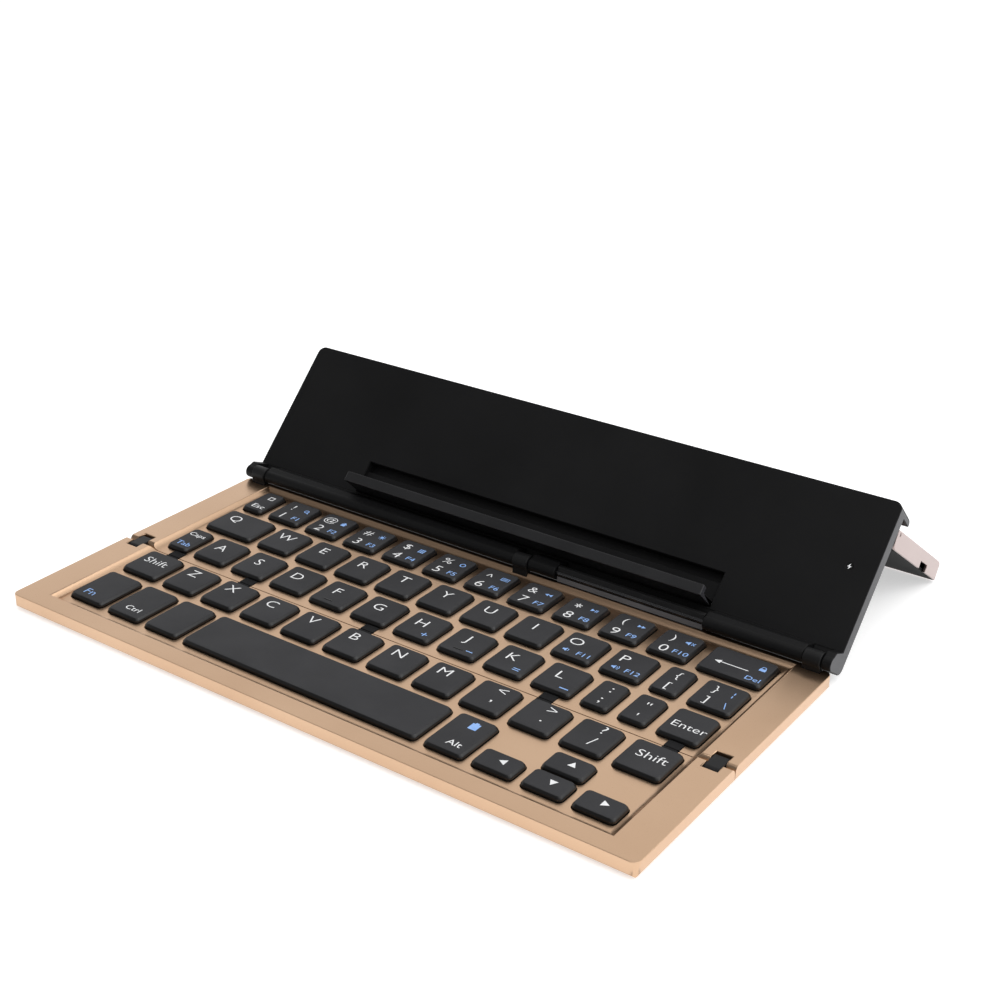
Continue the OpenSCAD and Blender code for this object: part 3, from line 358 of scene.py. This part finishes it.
def cap_mesh(size):
    """One keycap, hollow below, with its front left lower corner at the origin."""
    bm = bmesh.new()
    cap = bmesh.ops.create_cube(bm, size=1)["verts"]
    bmesh.ops.translate(bm, verts=cap, vec=(0.5, 0.5, 0.5))
    bmesh.ops.scale(bm, verts=cap, vec=size)
    upright = [e for e in bm.edges if abs(e.verts[0].co.z - e.verts[1].co.z) > size.z / 2]
    bmesh.ops.bevel(bm, geom=upright, offset=KEY_CORNER, segments=6, affect="EDGES", profile=0.5)
    whole = bm.verts[:] + bm.edges[:] + bm.faces[:]
    bmesh.ops.bisect_plane(bm, geom=whole, plane_co=(0, 0, KEY_SHOULDER), plane_no=(0, 0, 1))
    upper = [v for v in bm.verts if v.co.z > size.z - TINY]
    narrower = Vector((1 - 2 * KEY_SLOPE / size.x, 1 - 2 * KEY_SLOPE / size.y, 1))
    bmesh.ops.scale(bm, verts=upper, vec=narrower, space=Matrix.Translation(-size / 2))
    for height, offset, steps in ((size.z, KEY_TOP_EDGE, 4), (KEY_SHOULDER, KEY_SHOULDER_EDGE, 2)):
        ring = [e for e in bm.edges if max(abs(v.co.z - height) for v in e.verts) < TINY]
        bmesh.ops.bevel(bm, geom=ring, offset=offset, segments=steps, affect="EDGES", profile=0.5)
    under = [f for f in bm.faces if f.normal.z < DOWN_FACING]
    bmesh.ops.inset_region(bm, faces=under, thickness=KEY_WALL)
    hollow = bmesh.ops.extrude_face_region(bm, geom=under)["geom"]
    bmesh.ops.delete(bm, geom=under, context="FACES")
    bmesh.ops.translate(bm, verts=[g for g in hollow if isinstance(g, bmesh.types.BMVert)],
                        vec=(0, 0, size.z - KEY_WALL))
    bmesh.ops.recalc_face_normals(bm, faces=bm.faces)
    for face in bm.faces:
        middle = face.calc_center_median()
        face.smooth = True
        # Faces that look up less than TOP_FACING take the skirt material, painted near black: painted shade
        # on the sides
        face.material_index = TOP if middle.z > KEY_SHOULDER and face.normal.z > TOP_FACING else SKIRT
    mesh = bpy.data.meshes.new("cap")
    bm.to_mesh(mesh)
    bm.free()
    return mesh


def add_mesh(bm, mesh, place, ink=None):
    """Adds a mesh at a place in metres, in one ink where one is given."""
    mesh.transform(Matrix.Translation(place))
    if ink is not None:
        mesh.polygons.foreach_set("material_index", [ink] * len(mesh.polygons))
    bm.from_mesh(mesh)
    bpy.data.meshes.remove(mesh)


def glyph_mesh(text, height):
    """Printed lettering as a mesh centred on its own middle. Height is that of a capital letter."""
    curve = bpy.data.curves.new("legend", "FONT")
    curve.body = text
    curve.size = height / CAPITAL_SHARE
    curve.resolution_u = 3
    curve.extrude = INK / 2
    curve.offset = -STROKE_TRIM * curve.size if height > SMALL_PRINT else 0
    letter = bpy.data.objects.new("legend", curve)
    mesh = bpy.data.meshes.new_from_object(letter)
    bpy.data.objects.remove(letter)
    bpy.data.curves.remove(curve)
    xs = [v.co.x for v in mesh.vertices]
    ys = [v.co.y for v in mesh.vertices]
    mesh.transform(Matrix.Translation((-(min(xs) + max(xs)) / 2, -(min(ys) + max(ys)) / 2, INK / 2)))
    mesh.transform(Matrix.Diagonal((LETTER_STRETCH, 1, 1, 1)))
    return mesh


def shape_mesh(outlines, thickness=INK):
    """Flat shapes from outlines in millimetres, as thin as ink where they are printed."""
    bm = bmesh.new()
    for outline in outlines:
        face = bm.faces.new([bm.verts.new((x * MM, y * MM, 0)) for x, y in outline])
        face.normal_update()
        if face.normal.z > 0:
            face.normal_flip()
        side = bmesh.ops.extrude_face_region(bm, geom=[face], use_keep_orig=True)["geom"]
        bmesh.ops.translate(bm, verts=[g for g in side if isinstance(g, bmesh.types.BMVert)],
                            vec=(0, 0, thickness))
    bmesh.ops.recalc_face_normals(bm, faces=bm.faces)
    mesh = bpy.data.meshes.new("shape")
    bm.to_mesh(mesh)
    bm.free()
    return mesh


def ring_outlines(radius, width, start=0, turn=360, steps=20):
    """A ring, or a stretch of one, as short flat quads in millimetres."""
    def point(r, i):
        angle = math.radians(start + turn * i / steps)
        return (r * math.cos(angle), r * math.sin(angle))
    return [[point(radius - width, i), point(radius, i), point(radius, i + 1), point(radius - width, i + 1)]
            for i in range(steps)]


def shifted(outlines, dx, dy):
    """The same outlines in another place."""
    return [[(x + dx, y + dy) for x, y in outline] for outline in outlines]


def bar(x0, y0, x1, y1):
    """A rectangle between two corners."""
    return [(x0, y0), (x1, y0), (x1, y1), (x0, y1)]


def triangle(size, way):
    """An arrowhead pointing left, right, up or down."""
    turn = {"right": 0, "up": 90, "left": 180, "down": 270}[way]
    corners = [math.radians(turn + angle) for angle in (0, 120, 240)]
    return [[(size * math.cos(corner), size * math.sin(corner)) for corner in corners]]


def spokes(count, inner, outer, half_width, first=0):
    """Short bars around a middle, in millimetres."""
    bars = []
    for i in range(count):
        turn = Matrix.Rotation(math.radians(first + 360 * i / count), 2)
        bars.append([tuple(turn @ Vector(p)) for p in bar(inner, -half_width, outer, half_width)])
    return bars


# The small symbols, as outlines in millimetres around their own middle
SPEAKER = [bar(-1.3, -0.35, -0.8, 0.35), [(-0.8, -0.35), (0.0, -0.95), (0.0, 0.95), (-0.8, 0.35)]]
ICONS = {
    "square": [bar(-1.0, -1.0, -0.7, 1.0), bar(0.7, -1.0, 1.0, 1.0), bar(-0.7, -1.0, 0.7, -0.7),
               bar(-0.7, 0.7, 0.7, 1.0)],
    "lens": ring_outlines(0.85, 0.3) + [[(0.5, -0.7), (0.75, -0.5), (1.3, -1.05), (1.05, -1.25)]],
    "dim": ring_outlines(0.6, 0.6, steps=12) + spokes(8, 0.8, 1.2, 0.1),
    "home": [[(-1.1, 0.0), (0.0, 1.1), (1.1, 0.0)], bar(-0.75, -1.0, 0.75, -0.05)],
    "grid": [bar(x, y, x + 0.55, y + 0.55) for x in (-1.0, -0.27, 0.46) for y in (-1.0, -0.27, 0.46)],
    "circle": ring_outlines(0.95, 0.3),
    "keys": [bar(-1.3, -0.8, 1.3, -0.6), bar(-1.3, 0.6, 1.3, 0.8), bar(-1.3, -0.6, -1.1, 0.6),
             bar(1.1, -0.6, 1.3, 0.6), bar(-0.8, -0.3, 0.8, -0.1), bar(-0.8, 0.1, 0.8, 0.3)],
    "back": shifted(triangle(0.75, "left"), -0.55, 0) + shifted(triangle(0.75, "left"), 0.65, 0),
    "play": shifted(triangle(0.8, "right"), -0.6, 0)
    + [bar(0.35, -0.65, 0.6, 0.65), bar(0.85, -0.65, 1.1, 0.65)],
    "next": shifted(triangle(0.75, "right"), -0.65, 0) + shifted(triangle(0.75, "right"), 0.55, 0),
    "mute": SPEAKER + [[(0.4, -0.5), (0.6, -0.7), (1.5, 0.5), (1.3, 0.7)],
                       [(0.4, 0.5), (1.3, -0.7), (1.5, -0.5), (0.6, 0.7)]],
    "quieter": SPEAKER + ring_outlines(0.75, 0.22, -55, 110, 6),
    "louder": SPEAKER + ring_outlines(0.75, 0.22, -55, 110, 6) + ring_outlines(1.3, 0.22, -50, 100, 8),
    "lock": [bar(-0.95, -1.1, 0.95, 0.15), bar(-0.72, 0.15, -0.47, 0.55), bar(0.47, 0.15, 0.72, 0.55)]
    + shifted(ring_outlines(0.72, 0.25, 0, 180, 8), 0, 0.55),
    "cell": [bar(-1.45, -1.75, 1.45, 1.45), bar(-0.6, 1.45, 0.6, 2.0)],
    "long_arrow": [[(-5.9, 0), (-3.7, 1.05), (-3.7, -1.05)], bar(-3.7, -0.18, 5.9, 0.18)],
    "left": triangle(1.55, "left"), "right": triangle(1.55, "right"),
    "up": triangle(1.55, "up"), "down": triangle(1.55, "down"),
    "bump": [bar(-1.7, -0.2, 1.7, 0.2)],
    "minus": [bar(-1.25, -0.19, 1.25, 0.19)],
    "equals": [bar(-1.25, 0.3, 1.25, 0.66), bar(-1.25, -0.66, 1.25, -0.3)],
    "plus": [bar(-1.15, -0.18, 1.15, 0.18), bar(-0.18, 0.18, 0.18, 1.15), bar(-0.18, -1.15, 0.18, -0.18)],
    "split_bar": [bar(-0.18, 0.35, 0.18, 1.6), bar(-0.18, -1.6, 0.18, -0.35)],
    "star": spokes(6, 0.15, 1.35, 0.2, 30),
}


def legends_of(row, key):
    """What is printed on a key: (what, x, y, size, ink), in millimetres from its front left corner.

    The size of lettering is the height of its capitals, and that of a symbol a factor.
    """
    if row == "digits":
        mark, digit, icon, label = key
        return [(mark, 4.7, 10.2, 1 if mark in ICONS else 3.7, WHITE), (digit, 5.1, 3.4, 4.3, WHITE),
                (icon, 10.9, 10.3, 1.2, BLUE), (label, 11.2, 3.4, 2.4, BLUE)]
    if row == "top_letters":
        extra = {"O": [("quieter", 4.6, 3.4, 1.1, BLUE), ("F11", 10.8, 3.4, 2.3, BLUE)],
                 "P": [("louder", 4.6, 3.4, 1.1, BLUE), ("F12", 10.8, 3.4, 2.3, BLUE)]}
        spot = (4.7, 9.4) if key in extra else (6.6, 9.5)
        return [(key, *spot, CAP_HEIGHT, WHITE)] + extra.get(key, [])
    if row == "home_letters":
        extra = {"F": [("bump", 7.2, 2.6, 1, SKIRT)],
                 "H": [("plus", 11.2, 3.3, 1, BLUE)],
                 "J": [("minus", 11.3, 3.1, 1, BLUE), ("bump", 7.2, 2.6, 1, SKIRT)],
                 "K": [("equals", 11.2, 3.2, 1, BLUE)], "L": [("minus", 11.2, 2.6, 1.25, BLUE)]}
        return [(key, 6.2, 8.9, CAP_HEIGHT, WHITE)] + extra.get(key, [])
    if len(key) == 1:
        return [(key, 5.8, 10.7, CAP_HEIGHT, WHITE)]
    upper, lower = key
    return [(upper, 8.8, 12.0, 4.1, WHITE), (lower, 8.8, 5.3, 4.5, WHITE)]


DIGIT_KEYS = [("!", "1", "lens", "F1"), ("@", "2", "home", "F2"), ("#", "3", "dim", "F3"),
              ("$", "4", "grid", "F4"), ("%", "5", "circle", "F5"), ("^", "6", "keys", "F6"),
              ("&", "7", "back", "F7"), ("star", "8", "play", "F8"), ("(", "9", "next", "F9"),
              (")", "0", "mute", "F10")]
ROW_KEYS = {"digits": DIGIT_KEYS, "top_letters": list("WERTYUIOP"), "home_letters": list("ASDFGHJKL"),
            "bottom_letters": list("ZXCVBNM") + ["<,", ">.", "?/"]}
SINGLE_KEYS = {
    "esc": [("square", 5.6, 10.8, 1.2, WHITE), ("Esc", 5.8, 3.4, 2.8, WHITE)],
    "backspace": [("long_arrow", 9.6, 6.4, 1, WHITE), ("lock", 18.9, 9.9, 1.15, BLUE),
                  ("Del", 18.8, 2.9, 2.3, BLUE)],
    "q": [("Q", 6.6, 9.5, CAP_HEIGHT, WHITE)],
    "bracket_open": [("{", 5.1, 10.2, 3.6, WHITE), ("[", 5.1, 3.5, 3.6, WHITE)],
    "bracket_close": [("}", 5.0, 10.2, 3.6, WHITE), ("]", 5.0, 3.5, 3.6, WHITE),
                      ("split_bar", 11.0, 10.2, 1, BLUE), ("\\", 11.6, 3.6, 3.6, BLUE)],
    "caps": [("Caps", 5.0, 10.7, 2.3, WHITE), ("Tab", 5.2, 3.6, 2.6, BLUE)],
    "semicolon": [(":", 5.4, 10.4, 4.2, WHITE), (";", 5.4, 3.6, 4.4, WHITE)],
    "quote": [("\"", 5.4, 10.6, 3.9, WHITE), ("'", 5.4, 3.8, 3.9, WHITE)],
    "enter": [("Enter", 8.2, 6.5, 3.3, WHITE)],
    "shift_left": [("Shift", 8.2, 9.1, 3.6, WHITE)],
    "shift_right": [("Shift", 8.9, 8.6, 3.6, WHITE)],
    "fn": [("Fn", 6.1, 4.3, 3.3, BLUE)],
    "control": [("Ctrl", 8.3, 4.7, 2.5, WHITE)],
    "system": [],
    "space": [],
    "alt": [("cell", 8.2, 14.7, 1, BLUE), ("Alt", 8.6, 4.4, 2.6, WHITE)],
    "left": [("left", 8.4, 5.2, 1, WHITE)],
    "down": [("down", 8.1, 5.3, 1, WHITE)],
    "up": [("up", 8.0, 4.9, 1, WHITE)],
    "right": [("right", 8.0, 5.3, 1, WHITE)],
}


def add_legends(bm, corner, legends):
    """Prints the legends of a key on its top, whose front left corner is given."""
    for what, x, y, size, ink in legends:
        if what in ICONS:
            mesh = shape_mesh(ICONS[what], BUMP_HEIGHT if what == "bump" else INK)
            mesh.transform(Matrix.Diagonal((size, size, 1, 1)))
        else:
            mesh = glyph_mesh(what, size * MM)
        add_mesh(bm, mesh, corner + Vector((x * MM, y * MM, TINY - INK)), ink)


def make_keys(node, legend_lists):
    """All caps of one node, left to right, with their legends."""
    low, high = (Vector(corner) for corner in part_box(node))
    count = len(legend_lists)
    width = (high.x - low.x - (count - 1) * KEY_GAP) / count
    bm = bmesh.new()
    for i, legends in enumerate(legend_lists):
        left = low.x + i * (width + KEY_GAP)
        corner = Vector((left, low.y, low.z))
        add_mesh(bm, cap_mesh(Vector((width, high.y - low.y, high.z - low.z))), corner)
        add_legends(bm, corner + Vector((0, 0, high.z - low.z)), legends)
    piece = add_piece(bm, node.replace("key", "cap", 1), node, KEY_MATERIALS)
    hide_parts(node)


for row, names in ROW_KEYS.items():
    make_keys("keys_" + row, [legends_of(row, name) for name in names])
for name, legends in SINGLE_KEYS.items():
    make_keys("key_" + name, [legends])

# ---------------------------------------------------------------------------
# The fold: a black glass-filled nylon link at each side, turning on two steel
# pins so that the leaves can lie face to face.
# ---------------------------------------------------------------------------
black_link = new_material("black_nylon", from_srgb(18, 18, 19), from_srgb(26, 26, 28), 0.45, grain=1800,
                          patch=90, bump=0.15, specular=0.25)
dark_steel = new_material("dark_steel", (0.10, 0.10, 0.105), (0.14, 0.14, 0.145), 0.28, metallic=1.0,
                          grain=2600, patch=60, bump=0.1)
dress("fold_links", "fold_link_blocks", "fold_links", [black_link], 0.3 * MM, 3)
finish_node("fold_pins", steel)

# ---------------------------------------------------------------------------
# The rear hinge: three moulded ears on the rear leaf hold a dark steel rod,
# and a black duct beside the middle ear takes the flexible circuit across.
# ---------------------------------------------------------------------------
FRONT_FACING = -0.8            # a face that looks forwards more than this is a front face
ear_black = new_material("black_moulding", from_srgb(16, 16, 17), from_srgb(24, 24, 25), 0.50, grain=2400,
                         patch=90, bump=0.1, specular=0.25)
duct_painted_reflection_grey = new_material("duct_painted_reflection_grey", from_srgb(92, 91, 93), from_srgb(106, 105, 107), 0.5, grain=2600,
                         patch=60, bump=0.15, specular=0.3)
dress("hinge_ears", "hinge_ear_set", "rear_leaf", [ear_black], 0.25 * MM, 3)
duct = dress("cable_duct", "cable_duct_cap", "rear_leaf", [ear_black, duct_painted_reflection_grey], 0.25 * MM, 3)
# The lower half of the duct's front face is painted a lighter grey: a painted reflection of the floor in
# front of it
low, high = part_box("cable_duct")
for face in duct.data.polygons:
    if face.normal.y < FRONT_FACING and face.center.z < (low[2] + high[2]) / 2:
        face.material_index = 1
finish_node("hinge_pin", dark_steel)

# ---------------------------------------------------------------------------
# The cover: two black moulded shells screwed together, with a fine matt skin
# on the faces. Its smoother sides are painted a lighter grey: a painted sheen for the light they catch at a
# glancing angle.
# ---------------------------------------------------------------------------
SIDE_FACING = 0.95             # a face that looks sideways more than this
SIDE_DEPTH = 0.1 * MM          # and lies this close to the end of its moulding is a side
matt_black = new_material("matt_black", from_srgb(13, 13, 14), from_srgb(20, 20, 21), 0.50, grain=4000,
                          patch=25, bump=0.12, specular=0.16)
# The grey of the power slider, and a painted sheen on the sides of the cover and the ends of the ledge
grey_and_painted_side_sheen = new_material("slider_grey_and_painted_sheen", from_srgb(46, 46, 50), from_srgb(58, 58, 62), 0.45, grain=2600,
                         patch=40, bump=0.1)


def paint_side_sheen(piece, node):
    """Paints the faces that close a moulding at its left and right a lighter, smoother grey: a painted sheen.
    """
    ends = [corner[0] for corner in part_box(node)]
    for face in piece.data.polygons:
        inset = min(abs(face.center.x - end) for end in ends)
        if abs(face.normal.x) > SIDE_FACING and inset < SIDE_DEPTH:
            face.material_index = 1


cover = dress("cover_front", "cover_front_shell", "cover", [matt_black, grey_and_painted_side_sheen],
              0.35 * MM, 3)
paint_side_sheen(cover, "cover_front")
dress("cover_back", "cover_back_shell", "cover", [matt_black], 0.2 * MM)
finish_node("cover_screws", steel)
finish_node("ledge_pins", steel)

# ---------------------------------------------------------------------------
# In the cover: a foil battery pouch, green circuit boards, the charge socket
# and power slider at the left side, and the light pipe of the charge lamp.
# ---------------------------------------------------------------------------
foil = new_material("battery_foil", (0.35, 0.37, 0.40), (0.48, 0.50, 0.53), 0.35, metallic=0.7, grain=700,
                    patch=120)
board_green = new_material("board_green", (0.015, 0.09, 0.045), (0.03, 0.13, 0.07), 0.4, grain=900, patch=500)
lens_smoke = new_material("lens_smoke", from_srgb(14, 14, 15), from_srgb(20, 20, 21), 0.25, grain=900,
                          patch=300, bump=0.02, specular=0.3)
finish_node("battery", foil)
finish_node("circuit_boards", board_green)
finish_node("charge_socket", steel)
finish_node("power_slider", grey_and_painted_side_sheen)
finish_node("charge_lens", lens_smoke)

# The lamp shines through a small bolt, printed on the end of its light pipe.
LIGHTNING = [[(0.25, 1.05), (-0.72, -0.12), (-0.08, -0.12), (-0.25, -1.05), (0.72, 0.16), (0.08, 0.16)]]
COVER_TILT = math.radians(45)          # the cover stands open at this angle
outward = Vector((0, -math.sin(COVER_TILT), math.cos(COVER_TILT)))
lens = [v.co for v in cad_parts["charge_lens"].data.vertices]
reach = max(v.dot(outward) for v in lens)
face = [v for v in lens if v.dot(outward) > reach - TINY]
middle = sum(face, Vector()) / len(face)
mark = shape_mesh(LIGHTNING)
mark.transform(Matrix.Translation((0, 0, TINY - INK)))
mark.transform(Matrix.Translation(middle) @ Matrix.Rotation(COVER_TILT, 4, "X"))
add_piece(mark, "charge_lamp_mark", "cover", [white_ink])

# ---------------------------------------------------------------------------
# The tablet ledge: one black moulded bar with an L-shaped section, which turns
# up into the cover on two short pins.
# ---------------------------------------------------------------------------
satin_black = new_material("satin_black", from_srgb(22, 22, 24), from_srgb(32, 32, 34), 0.38, grain=2600,
                           patch=60, bump=0.1, specular=0.5)
ledge = dress("tablet_ledge", "tablet_ledge_bar", "tablet_ledge", [satin_black, grey_and_painted_side_sheen],
              0.35 * MM, 3)
# The ends of the ledge get the same painted sheen
paint_side_sheen(ledge, "tablet_ledge")

# ---------------------------------------------------------------------------
# The stand: a full-width tray of gold aluminium, in the same anodised finish as
# the leaves but painted paler and pinker, a painted reflection of the white backdrop. It is
# lined with black plastic on the side that lies against the cover.
# ---------------------------------------------------------------------------
stand_gold_painted_reflection = new_material("stand_gold_painted_reflection", from_srgb(173, 156, 152), from_srgb(185, 169, 166), 0.32, metallic=1.0,
                         grain=5200, patch=16, bump=0.3, rough_swing=0.06, bump_depth=0.012)
dress("stand_shell", "stand_tray", "stand", [stand_gold_painted_reflection], 0.2 * MM)
# Black plastic, coloured darker still: painted shade for the underside, which faces the floor
liner_black_painted_shade = new_material("liner_black_painted_shade", (0.0016, 0.0016, 0.0017), (0.0028, 0.0028, 0.003), 0.6, grain=2200,
                           patch=60, bump=0.15, specular=0.08)
finish_node("stand_liner", liner_black_painted_shade)
finish_node("stand_pins", steel)
